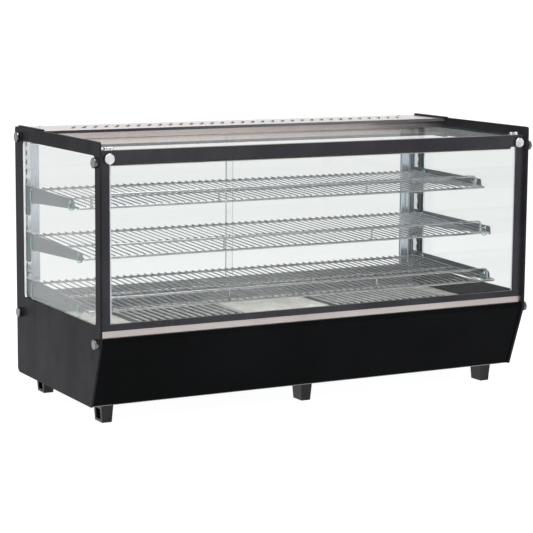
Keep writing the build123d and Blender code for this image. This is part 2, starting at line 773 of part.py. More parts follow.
def heater(x):
    """Serpentine heating rod on two clips that stand on the base's floor."""
    y0, y1 = FAN_Y - 70.0, FAN_Y + 70.0
    xs = [x - 60.0, x - 20.0, x + 20.0, x + 60.0]
    points = []
    for i, place in enumerate(xs):
        ends = (y1, y0) if i % 2 == 0 else (y0, y1)
        points += [(place, end, HEATER_Z) for end in ends]
    path = FilletPolyline(*points, radius=14.0)
    solid = sweep_rod(path, HEATER_ROD)
    floor = FOOT_HEIGHT + SHEET + 0.1
    for y in (FAN_Y - 76.0, FAN_Y + 74.0):
        solid += block(x - 66, x + 66, y, y + 2, floor, HEATER_Z + 8)
    inner = [y1 - 0.5, FAN_Y + 74.5]
    for place in (xs[0], xs[-1]):
        solid += rod_y(place, inner[0], inner[1], HEATER_Z, HEATER_ROD)
    solid += block(x - 44, x - 36, FAN_Y - 75, y0 + 2, HEATER_Z - 2, HEATER_Z + 2)
    return solid + block(x + 36, x + 44, FAN_Y - 75, y0 + 2, HEATER_Z - 2, HEATER_Z + 2)


# ---- controls ------------------------------------------------------------------------------
def control_panel():
    """Plate over the rear wall with openings for the controls."""
    x0, x1, z0, z1 = CONTROLS
    plate = block(x0, x1, PLATE_FACE, PLATE_FACE + SHEET, z0, z1)
    cuts = [block(x - 10.4, x + 10.4, 530, 550, SWITCH_Z - 14.4, SWITCH_Z + 14.4)
            for x in SWITCHES.values()]
    cuts.append(rod_y(THERMOSTAT_X, 530, 550, SWITCH_Z, 5.0))
    cuts.append(rod_y(THERMOMETER_X, 530, 550, SWITCH_Z, 20.0))
    corners = panel_screw_places()[-4:]
    cuts += [rod_y(x, 530, 550, z, 2.1) for x, z in corners]
    return plate - cuts


def switch_frame(x):
    """Snap-in frame of a rocker switch."""
    face = PLATE_FACE + SHEET
    rim = block(x - 12, x + 12, face + 0.05, face + 2.0, SWITCH_Z - 16, SWITCH_Z + 16)
    neck = block(x - 10.2, x + 10.2, face - 20, face + 1, SWITCH_Z - 14.2, SWITCH_Z + 14.2)
    return rim + neck - block(x - 8, x + 8, face - 17, face + 5, SWITCH_Z - 12.5, SWITCH_Z + 12.5)


def rocker(x):
    """Rocker with a dished face, resting with its lower half pressed in."""
    points = [(-4.0, -9.0), (-4.0, 9.0), (6.4, 10.4), (4.4, 0.0), (6.4, -10.4)]
    body = along_x(face_of(points), -7.6, 7.6)
    return Pos(x, ROCKER_Y, SWITCH_Z) * Rot(X=-ROCKER_TILT) * body


def thermostat_body():
    """Thermostat with its shaft through the control panel."""
    x, z = THERMOSTAT_X, SWITCH_Z
    case = block(x - 22, x + 22, PLATE_FACE - 34, PLATE_FACE - 0.1, z - 18, z + 18)
    return case + rod_y(x, PLATE_FACE - 1, PLATE_FACE + SHEET + 12, z, 3.0)


def thermostat_knob():
    """Skirted knob with a pointer rib, bored for the shaft."""
    face = PLATE_FACE + SHEET + 0.4
    back = DEPTH + CONTROL_REACH
    x, z = THERMOSTAT_X, SWITCH_Z
    shape = rod_y(x, face, face + 4, z, 19.0) + rod_y(x, face + 3, back - 1.2, z, 14.0)
    shape += block(x - 1.6, x + 1.6, face + 3, back, z, z + 17)
    return shape - rod_y(x, face - 1, face + 12.2, z, 3.0 + RUNNING)


def thermometer():
    """Dial thermometer: a stepped round case with a shallow dial."""
    x, z = THERMOMETER_X, SWITCH_Z
    face = PLATE_FACE + SHEET
    case = rod_y(x, face - 14, face + 1, z, 19.7) + rod_y(x, face + 0.05, face + 6, z, 25.0)
    return case - rod_y(x, face + 4.4, face + 8, z, 22.5)


def cable_gland():
    """Gland for the mains lead: flange, thread and a clear bore."""
    x, z = GLAND
    wall = REAR_FACE + SHEET
    nut = Pos(x, wall + 5.05, z) * Rot(X=90) * extrude(RegularPolygon(12.0, 6), 5.0, both=True)
    body = nut + rod_y(x, REAR_FACE - 14, wall + 1, z, 8.0) + rod_y(x, wall + 10, wall + 18, z, 9.0)
    return body - rod_y(x, REAR_FACE - 20, wall + 30, z, 4.5)


def terminal_block():
    """Six-way block on the base's floor."""
    floor = FOOT_HEIGHT + SHEET + 0.1
    body = block(430, 520, 440, 465, floor, floor + 22)
    wells = [rod_z(438 + 15 * i, 452.5, floor + 14, floor + 23, 3.5) for i in range(6)]
    return body - wells


# ---- write every node ----------------------------------------------------------------------
def both(name, solid):
    """Write a right-hand piece and its mirror image as two nodes."""
    save(f"{name}_right", solid)
    save(f"{name}_left", mirrored(solid))


def pair(name, solid):
    """Write a piece and its mirror image as one node."""
    save(name, solid, mirrored(solid))


os.makedirs("parts", exist_ok=True)
both("side_panel", side_panel())
both("side_glass", side_glass())
save("front_glass", front_glass())
save("top_glass", top_glass())
save("front_top_bar", front_top_bar())
pair("front_stiles", front_stile())
save("front_bottom_rail", front_bottom_rail())
save("front_seals", mirrored(front_seal(SEAL_WIDTHS["left"])), front_seal(SEAL_WIDTHS["right"]))
save("trim_strip", trim_strip())
save("lower_front_panel", lower_front_panel())
save("bottom_pan", bottom_pan())
save("deck_pan", deck_pan())
for cover_side, cover_sizes in COVERS.items():
    save(f"vent_cover_{cover_side}", vent_cover(*cover_sizes))
save("rear_panel", rear_panel())
save("sheet_screws", *sheet_screws())
save("canopy_cover", canopy_cover())
save("canopy_floor", canopy_floor())
pair("canopy_end_trims", canopy_end_trim())
save("lamp_housing", lamp_housing())
save("lamp_diffuser", lamp_diffuser())
both("shelf_post", shelf_post())
pair("door_jambs", door_jamb())
save("door_track_top", door_track(track_profile(*TRACK_HIGH)))
save("door_track_bottom", door_track(sill_profile()))
for door_side, door_name in ((-1, "left"), (1, "right")):
    save(f"door_glass_{door_name}", door_glass(door_side))
    save(f"door_stile_{door_name}", door_stile(door_side))
for level, level_size in SHELVES.items():
    pair(f"shelf_brackets_{level}", bracket(level_size))
    save(f"shelf_grid_{level}", *shelf_grid(level_size))
    save(f"shelf_guard_{level}", *shelf_guard(level_size))
save("bracket_ties", *bracket_ties())
save("clamp_knobs", *at_knobs(knob()))
save("knob_washers", *at_knobs(knob_washer()))
pair("glass_clips", glass_clip())
save("feet", *feet())
save("foot_screws", *foot_screws())
save("fan_frames", *[fan_frame(x) for x in FAN_X.values()])
for fan_side, fan_x in FAN_X.items():
    save(f"fan_rotor_{fan_side}", fan_rotor(fan_x))
save("heaters", *[heater(x) for x in FAN_X.values()])
save("control_panel", control_panel())
save("switch_frames", *[switch_frame(x) for x in SWITCHES.values()])
for switch_name, switch_x in SWITCHES.items():
    save(f"{switch_name}_switch", rocker(switch_x))
save("thermostat_body", thermostat_body())
save("thermostat_knob", thermostat_knob())
save("thermometer", thermometer())
save("cable_gland", cable_gland())
save("terminal_block", terminal_block())
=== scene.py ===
import math
import random

import bmesh
import bpy
from mathutils import Matrix, Vector


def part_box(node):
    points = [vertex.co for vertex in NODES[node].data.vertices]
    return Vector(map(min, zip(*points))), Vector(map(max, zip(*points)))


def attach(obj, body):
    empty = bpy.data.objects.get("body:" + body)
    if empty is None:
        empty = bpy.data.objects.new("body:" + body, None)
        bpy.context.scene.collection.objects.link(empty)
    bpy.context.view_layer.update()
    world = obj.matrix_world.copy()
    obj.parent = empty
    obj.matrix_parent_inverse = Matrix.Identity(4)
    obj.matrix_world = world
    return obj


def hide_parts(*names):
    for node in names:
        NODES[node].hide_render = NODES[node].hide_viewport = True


# Looks of the counter-top bakery display case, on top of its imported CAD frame.
# Metres, +Z up, the front faces -Y. Sizes come from the CAD nodes' boxes wherever a piece meets one.

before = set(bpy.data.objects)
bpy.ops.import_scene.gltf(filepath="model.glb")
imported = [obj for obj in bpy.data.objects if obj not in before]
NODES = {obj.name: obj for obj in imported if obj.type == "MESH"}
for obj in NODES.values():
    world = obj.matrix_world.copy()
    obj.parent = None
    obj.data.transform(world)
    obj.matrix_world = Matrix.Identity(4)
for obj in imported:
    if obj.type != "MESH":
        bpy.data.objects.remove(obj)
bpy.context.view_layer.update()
MM = 0.001
LEVELS = ("top", "middle", "bottom")
random.seed(7)

# Materials: brush hairs per metre along and across a stroke, normals that count as facing the front,
# where the window's rear edge lies, and how far below the top the painted dark reflection band runs.
HAIR_ALONG = 3.0
HAIR_ACROSS = 1100.0
BROAD_STREAK = 14
FACING_FRONT = -0.5
# From here back, front-facing side-panel faces carry a painted highlight.
WINDOW_REAR = 0.1
# Painted dark reflection band below the canopy top, and the X range over which it fades lighter.
DARK_REFLECTION_BAND = (0.8 * MM, 8.0 * MM)
DARK_REFLECTION_FADE = (-0.35, 0.15)
# Heights above the cover's base and below its rib tops between which the painted groove shade fades
# out.
COVER_GROOVE_SHADE = (1.0 * MM, 1.5 * MM)
BEVEL_SAMPLES = 4
WELD = 1e-6

# Knobs and clips, in millimetres from the centre line or from a piece's own seat.
KNOB_REACH = 12.0
CLIP_SPAN = (559, 590)
CLIP_STUDS = (566, 583)
CLIP_ROLL = (562, 4.6)
CLIP_PLATE = (6.5, 1.8)
SCREW_HEAD = 2.2
RECESS = (1.7, 0.32)
RECESS_DEPTH = (1.0, 2.18)

# Tie loops and louvres.
TIE_RADIUS = 1.25 * MM
TIE_STEPS = 40
LOUVRE_ROWS = (171.0 * MM, 197.0 * MM)
LOUVRE_PITCH = 30.4 * MM
LOUVRE_COUNT = 33
LOUVRE_SIZE = (6.2 * MM, 5.0 * MM, 1.3 * MM)
HOOD_LEVELS = 4
HOOD_STEPS = 8


# ---- node helpers --------------------------------------------------------------------------
class Shader:
    """One material's node tree, with short calls for the nodes used here."""

    def __init__(self, name):
        self.material = bpy.data.materials.new(name)
        self.material.use_nodes = True
        self.tree = self.material.node_tree
        self.tree.nodes.clear()
        self.output = self.tree.nodes.new("ShaderNodeOutputMaterial")
        self.principled = self.tree.nodes.new("ShaderNodeBsdfPrincipled")
        self.join(self.principled.outputs[0], self.output.inputs[0])
        self.place = self.tree.nodes.new("ShaderNodeTexCoord").outputs["Object"]

    @classmethod
    def reopened(cls, material):
        """Helper for a finished material that gets one more layer."""
        s = cls.__new__(cls)
        s.material, s.tree = material, material.node_tree
        s.principled = next(node for node in s.tree.nodes if node.type == "BSDF_PRINCIPLED")
        s.place = next(node for node in s.tree.nodes if node.type == "TEX_COORD").outputs["Object"]
        return s

    def colour_now(self):
        return self.principled.inputs["Base Color"].links[0].from_socket

    def join(self, source, target):
        if isinstance(source, bpy.types.NodeSocket):
            self.tree.links.new(source, target)
        else:
            target.default_value = source

    def base(self, **values):
        """Constant values on the shader's own sockets."""
        for key, value in values.items():
            socket = key.replace("_", " ").title().replace("Ior", "IOR")
            self.principled.inputs[socket].default_value = value

    def put(self, socket, source):
        self.join(source, self.principled.inputs[socket])

    def spread(self, scale):
        """Object coordinates multiplied along each axis."""
        node = self.tree.nodes.new("ShaderNodeMapping")
        self.join(self.place, node.inputs["Vector"])
        node.inputs["Scale"].default_value = scale
        return node.outputs[0]

    def noise(self, scale, detail=3.0, rough=0.55, where=None):
        node = self.tree.nodes.new("ShaderNodeTexNoise")
        node.inputs["Scale"].default_value = scale
        node.inputs["Detail"].default_value = detail
        node.inputs["Roughness"].default_value = rough
        self.join(where or self.place, node.inputs["Vector"])
        return node.outputs["Fac"]

    def cells(self, scale):
        node = self.tree.nodes.new("ShaderNodeTexVoronoi")
        node.inputs["Scale"].default_value = scale
        self.join(self.place, node.inputs["Vector"])
        return node.outputs["Distance"]

    def math(self, kind, a, b=0.0):
        node = self.tree.nodes.new("ShaderNodeMath")
        node.operation = kind
        self.join(a, node.inputs[0])
        self.join(b, node.inputs[1])
        return node.outputs[0]

    def remap(self, source, low, high, to_low, to_high):
        node = self.tree.nodes.new("ShaderNodeMapRange")
        for place, value in enumerate((source, low, high, to_low, to_high)):
            self.join(value, node.inputs[place])
        return node.outputs[0]

    def axis(self, letter, normal=False):
        """One object coordinate, or one part of the surface normal."""
        node = self.tree.nodes.new("ShaderNodeSeparateXYZ")
        source = self.place
        if normal:
            source = self.tree.nodes.new("ShaderNodeNewGeometry").outputs["Normal"]
        self.join(source, node.inputs[0])
        return node.outputs[letter]

    def blend(self, factor, one, two):
        """Colour between one and two."""
        node = self.tree.nodes.new("ShaderNodeMix")
        node.data_type = "RGBA"
        self.join(factor, node.inputs[0])
        self.join(one, node.inputs[6])
        self.join(two, node.inputs[7])
        return node.outputs[2]

    def edges(self, radius):
        """Rounded shading normal, and how far into a sharp edge's rounding each point lies."""
        node = self.tree.nodes.new("ShaderNodeBevel")
        node.samples = BEVEL_SAMPLES
        node.inputs["Radius"].default_value = radius
        flat = self.tree.nodes.new("ShaderNodeNewGeometry").outputs["Normal"]
        dot = self.tree.nodes.new("ShaderNodeVectorMath")
        dot.operation = "DOT_PRODUCT"
        self.join(node.outputs[0], dot.inputs[0])
        self.join(flat, dot.inputs[1])
        return node.outputs[0], self.remap(dot.outputs["Value"], 0.98, 0.75, 0.0, 1.0)

    def bump(self, height, strength, distance, normal=None):
        node = self.tree.nodes.new("ShaderNodeBump")
        node.inputs["Strength"].default_value = strength
        node.inputs["Distance"].default_value = distance
        self.join(height, node.inputs["Height"])
        if normal is not None:
            self.join(normal, node.inputs["Normal"])
        self.put("Normal", node.outputs[0])


def rgb(hex_code):
    """Linear colour from an sRGB hex code."""
    parts = [int(hex_code[i : i + 2], 16) / 255 for i in (0, 2, 4)]
    linear = [c / 12.92 if c <= 0.04045 else ((c + 0.055) / 1.055) ** 2.4 for c in parts]
    return (*linear, 1.0)


# ---- materials -----------------------------------------------------------------------------
def powder_coat(name, colour, worn, rough, level):
    """Satin powder coat: fine orange peel, faint cloudiness and lighter rubbed edges."""
    s = Shader(name)
    s.base(specular_ior_level=level, ior=1.5)
    normal, edge = s.edges(0.6 * MM)
    cloud = s.noise(6.0, 4.0)
    rub = s.math("MULTIPLY", edge, s.remap(s.noise(90.0, 5.0), 0.42, 0.62, 0.15, 0.8))
    tone = s.blend(s.remap(cloud, 0.35, 0.65, 0.0, 0.35), rgb(colour), rgb(worn))
    s.put("Base Color", s.blend(rub, tone, rgb(worn)))
    fine = s.noise(1500.0, 2.0)
    smears = s.noise(14.0, 5.0, 0.65, s.spread((1.0, 1.0, 0.35)))
    matt = s.math("ADD", s.math("MULTIPLY", fine, 0.3), smears)
    s.put("Roughness", s.remap(matt, 0.45, 0.9, rough - 0.05, rough + 0.1))
    s.bump(fine, 0.12, 0.0002, normal)
    return s.material


def side_coat(name, colour, worn, rough, level):
    """The side panels' coat, with a painted highlight: front-facing faces behind the window's rear
    edge are near-white.
    """
    material = powder_coat(name, colour, worn, rough, level)
    s = Shader.reopened(material)
    # Painted highlight: faces turned to the front, from WINDOW_REAR back, take a near-white colour.
    facing_front = s.math("LESS_THAN", s.axis("Y", normal=True), FACING_FRONT)
    near_rear = s.math("GREATER_THAN", s.axis("Y"), WINDOW_REAR)
    front_highlight = s.math("MULTIPLY", facing_front, near_rear)
    s.put("Base Color", s.blend(front_highlight, s.colour_now(), rgb("f2f5f7")))
    return material


def rib_coat(name, colour, worn, rough, level):
    """The vent covers' coat, with painted shade darkening the grooves between the ribs."""
    material = powder_coat(name, colour, worn, rough, level)
    s = Shader.reopened(material)
    low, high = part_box("vent_cover_left")
    grooves, ribs = COVER_GROOVE_SHADE
    # Painted shade: the lower a point lies between the ribs, the closer its colour goes to
    # near-black.
    groove_shade = s.remap(s.axis("Z"), low.z + grooves, high.z - ribs, 1.0, 0.0)
    s.put("Base Color", s.blend(groove_shade, s.colour_now(), rgb("1f2124")))
    return material


def brushed(name, colour, dark, rough, along, streak=0.5, anisotropic=0.5):
    """Metal brushed along one axis, with long streaks in tone, roughness and relief."""
    s = Shader(name)
    s.base(metallic=1.0, anisotropic=anisotropic)
    normal, edge = s.edges(0.5 * MM)
    stretch = tuple(HAIR_ALONG if letter == along else HAIR_ACROSS for letter in "xyz")
    hair = s.noise(1.0, 4.0, 0.6, s.spread(stretch))
    broad = s.noise(1.0, 3.0, 0.5, s.spread(tuple(v / BROAD_STREAK for v in stretch)))
    cloud = s.noise(5.0, 4.0)
    streaks = s.math("ADD", s.math("MULTIPLY", hair, streak), cloud)
    mix = s.remap(streaks, 0.4, 0.4 + streak + 0.35, 0.0, 1.0)
    tone = s.blend(mix, rgb(dark), rgb(colour))
    s.put("Base Color", s.blend(s.math("MULTIPLY", edge, 0.5), tone, rgb(colour)))
    s.put("Roughness", s.remap(s.math("ADD", hair, broad), 0.7, 1.3, rough - 0.05, rough + 0.1))
    s.bump(hair, 0.08, 0.0001, normal)
    return s.material


def canopy_steel(name, colour, dark, rough):
    """Fine brushed stainless with a painted dark reflection band under the canopy's front fold."""
    material = brushed(name, colour, dark, rough, "x", 0.2, 0.3)
    s = Shader.reopened(material)
    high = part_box("canopy_cover")[1].z
    # Painted reflection: a thin band of front-facing steel just under the top is darkened and made
    # less metallic, darkest at the left and lighter to the right.
    front = s.math("LESS_THAN", s.axis("Y", normal=True), FACING_FRONT)
    under = s.math("LESS_THAN", s.axis("Z"), high - DARK_REFLECTION_BAND[0])
    over = s.math("GREATER_THAN", s.axis("Z"), high - DARK_REFLECTION_BAND[1])
    reflection_mask = s.math("MULTIPLY", front, s.math("MULTIPLY", under, over))
    fade = s.remap(s.axis("X"), *DARK_REFLECTION_FADE, 0.0, 1.0)
    reflection_colour = s.blend(fade, rgb("34343b"), rgb("6f7276"))
    s.put("Base Color", s.blend(reflection_mask, s.colour_now(), reflection_colour))
    s.put("Metallic", s.math("SUBTRACT", 1.0, s.math("MULTIPLY", reflection_mask, 0.7)))
    return material


def polished(name, colour, rough, smudge=0.08):
    """Plated or polished metal with faint smudges and pin marks."""
    s = Shader(name)
    s.base(metallic=1.0)
    normal, _ = s.edges(0.4 * MM)
    marks = s.noise(45.0, 6.0, 0.7)
    s.put("Base Color", s.blend(s.remap(marks, 0.4, 0.7, 0.0, 0.25), rgb(colour), rgb("8e8c8a")))
    s.put("Roughness", s.remap(marks, 0.35, 0.7, rough, rough + smudge))
    s.bump(s.noise(700.0, 2.0), 0.03, 0.0001, normal)
    return s.material


def moulded(name, colour, light, rough, grain=1200.0):
    """Moulded plastic with a fine spark grain and handling marks."""
    s = Shader(name)
    s.base(specular_ior_level=0.4, ior=1.49)
    normal, edge = s.edges(0.6 * MM)
    patch = s.noise(30.0, 4.0)
    tone = s.blend(s.remap(patch, 0.4, 0.65, 0.0, 0.4), rgb(colour), rgb(light))
    s.put("Base Color", s.blend(s.math("MULTIPLY", edge, 0.6), tone, rgb(light)))
    s.put("Roughness", s.remap(patch, 0.35, 0.7, rough, rough + 0.12))
    s.bump(s.cells(grain), 0.15, 0.0001, normal)
    return s.material


def pane(name, tint, edge_colour, thin, ior):
    """Clear float glass that lets lamps through, with green cut edges and faint wipe marks."""
    s = Shader(name)
    s.base(transmission_weight=1.0, ior=ior)
    wipe = s.noise(1.0, 5.0, 0.6, s.spread((9.0, 9.0, 4.0)))
    s.put("Roughness", s.remap(wipe, 0.62, 0.85, 0.0, 0.012))
    s.put("Base Color", s.blend(s.remap(wipe, 0.3, 0.7, 0.0, 0.5), rgb(tint), rgb("fcfefe")))
    rim = s.tree.nodes.new("ShaderNodeBsdfPrincipled")
    rim.inputs["Roughness"].default_value = 0.25
    rim.inputs["Transmission Weight"].default_value = 0.5
    grind = s.blend(s.noise(300.0, 3.0), rgb(edge_colour), rgb("9dbfb4"))
    s.join(grind, rim.inputs["Base Color"])
    side = s.math("LESS_THAN", s.math("ABSOLUTE", s.axis(thin.upper(), normal=True)), 0.5)
    body = s.tree.nodes.new("ShaderNodeMixShader")
    s.join(side, body.inputs[0])
    s.join(s.principled.outputs[0], body.inputs[1])
    s.join(rim.outputs[0], body.inputs[2])
    clear = s.tree.nodes.new("ShaderNodeBsdfTransparent")
    clear.inputs[0].default_value = rgb("fafbfb")
    final = s.tree.nodes.new("ShaderNodeMixShader")
    s.join(s.tree.nodes.new("ShaderNodeLightPath").outputs["Is Shadow Ray"], final.inputs[0])
    s.join(body.outputs[0], final.inputs[1])
    s.join(clear.outputs[0], final.inputs[2])
    s.join(final.outputs[0], s.output.inputs[0])
    return s.material


def milky(name, colour, rough, through):
    """Soft translucent plastic."""
    s = Shader(name)
    s.base(transmission_weight=through, ior=1.46)
    blotch = s.noise(60.0, 4.0)
    s.put("Base Color", s.blend(s.remap(blotch, 0.35, 0.7, 0.0, 0.4), rgb(colour), rgb("eef6f5")))
    s.put("Roughness", s.remap(blotch, 0.3, 0.7, rough, rough + 0.12))
    s.bump(s.noise(400.0, 2.0), 0.08, 0.0002)
    return s.material


def paint(material, *names):
    """Give CAD nodes a material."""
    for name in names:
        data = NODES[name].data
        if not data.materials:
            data.materials.append(material)
        for place in range(len(data.materials)):
            data.materials[place] = material


BLACK = powder_coat("black_powder_coat", "1d1d20", "3c3c41", 0.40, 0.22)
SIDE_BLACK = side_coat("side_panel_coat", "212125", "37373c", 0.40, 0.06)
FRONT_BLACK = powder_coat("front_panel_paint", "050607", "121317", 0.32, 0.04)
FRAME_PAINT = powder_coat("frame_paint", "1e1d23", "45444b", 0.30, 0.36)
STAINLESS = canopy_steel("canopy_stainless", "e4dad6", "cfc5c1", 0.16)
PLATE_STEEL = brushed("plate_stainless", "dcdad7", "a9a6a3", 0.28, "x")
TRIM_STEEL = brushed("trim_steel", "dcd5d1", "a49b99", 0.26, "x", 0.9)
POST_STEEL = brushed("post_steel", "eeeff1", "c9ccd0", 0.06, "z", 0.3, 0.2)
BRACKET_STEEL = brushed("bracket_steel", "80878a", "73797c", 0.30, "y", 0.12, 0.2)
DECK = powder_coat("deck_enamel", "f3efe7", "fcfaf6", 0.25, 0.6)
COVER = rib_coat("vent_cover_enamel", "b4b5b3", "d0d0ce", 0.24, 0.5)
ALUMINIUM = brushed("anodised_aluminium", "dfe6f0", "bcc4ce", 0.26, "z")
TRACK = brushed("track_aluminium", "b9bdc1", "888c90", 0.34, "x")
GALVANISED = brushed("galvanised_sheet", "b4b8ba", "84898c", 0.42, "x", 0.3)
CHROME = polished("bright_chrome", "e9e9ea", 0.05)
WIRE_CHROME = polished("wire_chrome", "b9bbbe", 0.05, 0.04)
SCREW_ZINC = polished("screw_zinc", "c5c6c8", 0.25)
HEATER_STEEL = polished("heater_sheath", "8d857c", 0.35)
BLACK_PLASTIC = moulded("black_plastic", "101011", "2c2c2e", 0.38)
FOOT_PLASTIC = moulded("foot_plastic", "08080a", "2a2a2c", 0.22, 600.0)
PALE_PLASTIC = moulded("pale_plastic", "c3c6c9", "e2e4e6", 0.40)
TIE = milky("tie_plastic", "3fb2b8", 0.15, 0.25)
SEAL = milky("seal_plastic", "dfe5ee", 0.35, 0.2)
DIFFUSER = milky("lamp_diffuser_plastic", "e9e3d6", 0.45, 0.3)
GLASS_INDEX = {"x": 1.32, "y": 1.30, "z": 1.5}
GLASS = {
    axis: pane(f"glass_{axis}", "fafcfb", "5f9a8a", axis, ior) for axis, ior in GLASS_INDEX.items()
}
SPUN_FACE = polished("spun_knob_face", "f2f2f2", 0.16)
# Painted shade: the side knobs are the same chrome knobs as the front ones, given darker copies of
# the chrome and the spun face.
SHADED_CHROME = polished("chrome_in_shade", "6c6c6e", 0.10)
SHADED_KNOB_FACE = polished("knob_face_in_shade", "8a8a8b", 0.14)

paint(SIDE_BLACK, "side_panel_left", "side_panel_right")
paint(BLACK, "rear_panel", "lamp_housing")
paint(FRONT_BLACK, "lower_front_panel")
paint(FRAME_PAINT, "front_top_bar", "front_stiles", "front_bottom_rail")
paint(STAINLESS, "canopy_cover")
paint(PLATE_STEEL, "control_panel", "thermometer")
paint(TRIM_STEEL, "trim_strip")
paint(POST_STEEL, "shelf_post_left", "shelf_post_right")
paint(BRACKET_STEEL, *[f"shelf_brackets_{level}" for level in LEVELS])
paint(DECK, "deck_pan")
paint(COVER, "vent_cover_left", "vent_cover_right")
paint(ALUMINIUM, "door_jambs", "door_stile_left", "door_stile_right")
paint(TRACK, "door_track_top", "door_track_bottom")
paint(GALVANISED, "bottom_pan", "canopy_floor")
paint(CHROME, "clamp_knobs", "glass_clips")
for part in ("grid", "guard"):
    paint(WIRE_CHROME, *[f"shelf_{part}_{level}" for level in LEVELS])
paint(SCREW_ZINC, "sheet_screws", "foot_screws")
paint(HEATER_STEEL, "heaters")
paint(BLACK_PLASTIC, "knob_washers", "canopy_end_trims", "fan_frames", "cable_gland")
paint(BLACK_PLASTIC, "fan_rotor_left", "fan_rotor_right", "thermostat_body", "thermostat_knob")
paint(BLACK_PLASTIC, "switch_frames", "power_switch", "light_switch")
paint(FOOT_PLASTIC, "feet")
paint(PALE_PLASTIC, "terminal_block")
paint(TIE, "bracket_ties")
paint(SEAL, "front_seals")
paint(DIFFUSER, "lamp_diffuser")
paint(GLASS["x"], "side_glass_left", "side_glass_right")
paint(GLASS["y"], "front_glass", "door_glass_left", "door_glass_right")
paint(GLASS["z"], "top_glass")


# ---- mesh helpers --------------------------------------------------------------------------
def add_piece(name, mesh, material, body, replaced=(), sharp=35.0):
    """Make a finished object of a mesh: smooth except at sharp edges, riding on its body."""
    data = bpy.data.meshes.new(name)
    mesh.to_mesh(data)
    mesh.free()
    data.shade_smooth()
    data.set_sharp_from_angle(angle=math.radians(sharp))
    data.materials.append(material)
    piece = bpy.data.objects.new(name, data)
    bpy.context.scene.collection.objects.link(piece)
    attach(piece, body)
    if replaced:
        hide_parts(*replaced)
    return piece


def lathe(mesh, profile, matrix, steps):
    """Turned shape from (radius, height) points in millimetres, placed by matrix.

    A radius of 0 closes it.
    """
    rings = []
    for radius, height in [(r * MM, z * MM) for r, z in profile]:
        if radius == 0:
            rings.append([mesh.verts.new(matrix @ Vector((0, 0, height)))])
            continue
        angles = [2 * math.pi * i / steps for i in range(steps)]
        ring = [Vector((radius * math.cos(a), radius * math.sin(a), height)) for a in angles]
        rings.append([mesh.verts.new(matrix @ point) for point in ring])
    for low, high in zip(rings, rings[1:]):
        for i in range(steps):
            j = (i + 1) % steps
            below = [low[i % len(low)], low[j % len(low)]]
            above = [high[j % len(high)], high[i % len(high)]]
            kept = list(dict.fromkeys(below + above))
            if len(kept) > 2:
                mesh.faces.new(kept)


def slab(mesh, low, high, bevel=0.0, matrix=Matrix.Identity(4)):
    """Box between two corners with rounded edges."""
    size = Vector(high) - Vector(low)
    middle = (Vector(high) + Vector(low)) / 2
    place = matrix @ Matrix.Translation(middle) @ Matrix.Diagonal((*size, 1.0))
    made = bmesh.ops.create_cube(mesh, size=1.0, matrix=place)
    if bevel:
        edges = {edge for vert in made["verts"] for edge in vert.link_edges}
        rounding = dict(segments=2, affect="EDGES", profile=0.5)
        bmesh.ops.bevel(mesh, geom=list(edges), offset=bevel, **rounding)


def ring_tube(mesh, points, radius, steps):
    """Round tube through a closed list of points."""
    count = len(points)
    rings = []
    side = None
    for i, point in enumerate(points):
        ahead = points[(i + 1) % count] - points[i - 1]
        ahead.normalize()
        side = ahead.orthogonal() if side is None else side - ahead * side.dot(ahead)
        side.normalize()
        other = ahead.cross(side)
        angles = [2 * math.pi * k / steps for k in range(steps)]
        ring = [point + (side * math.cos(a) + other * math.sin(a)) * radius for a in angles]
        rings.append([mesh.verts.new(p) for p in ring])
    for low, high in zip(rings, rings[1:] + rings[:1]):
        shift = 0
        if high is rings[0]:
            gaps = [(low[0].co - vert.co).length for vert in high]
            shift = gaps.index(min(gaps))
        for k in range(steps):
            n = (k + 1) % steps
            above = (high[(n + shift) % steps], high[(k + shift) % steps])
            mesh.faces.new((low[k], low[n], *above))


def islands(node):
    """Low and high corner of each separate solid in a CAD node."""
    mesh = bmesh.new()
    mesh.from_mesh(NODES[node].data)
    bmesh.ops.remove_doubles(mesh, verts=mesh.verts, dist=WELD)
    seen = set()
    found = []
    for start in mesh.verts:
        if start in seen:
            continue
        stack, group = [start], []
        seen.add(start)
        while stack:
            vert = stack.pop()
            group.append(vert.co.copy())
            for edge in vert.link_edges:
                other = edge.other_vert(vert)
                if other not in seen:
                    seen.add(other)
                    stack.append(other)
        low = Vector([min(p[k] for p in group) for k in range(3)])
        high = Vector([max(p[k] for p in group) for k in range(3)])
        found.append((low, high))
    mesh.free()
    return found


def softened(node, name, material, body, width):
    """A CAD node's own shape with its edges rounded over."""
    mesh = bmesh.new()
    mesh.from_mesh(NODES[node].data)
    bmesh.ops.remove_doubles(mesh, verts=mesh.verts, dist=WELD)
    flat = math.radians(1.5)
    bmesh.ops.dissolve_limit(mesh, angle_limit=flat, verts=mesh.verts, edges=mesh.edges)
    piece = add_piece(name, mesh, material, body, (node,))
    bevel = piece.modifiers.new("rounding", "BEVEL")
    bevel.width = width
    bevel.segments = 3
    bevel.limit_method = "ANGLE"
    bevel.angle_limit = math.radians(40)
    bevel.harden_normals = False
    return piece


# ---- knobs, clips and feet -----------------------------------------------------------------
def facing(place, direction):
    """Matrix that stands a turned piece at place, pointing along direction."""
    turn = Vector(direction).to_track_quat("Z", "Y")
    return Matrix.Translation(place) @ turn.to_matrix().to_4x4()


def outward(low, high):
    """Direction that a knob, given by its box, points in."""
    if high.x - low.x > high.y - low.y:
        return Vector((0, -1, 0))
    return Vector((1, 0, 0)) if low.x + high.x > 0 else Vector((-1, 0, 0))


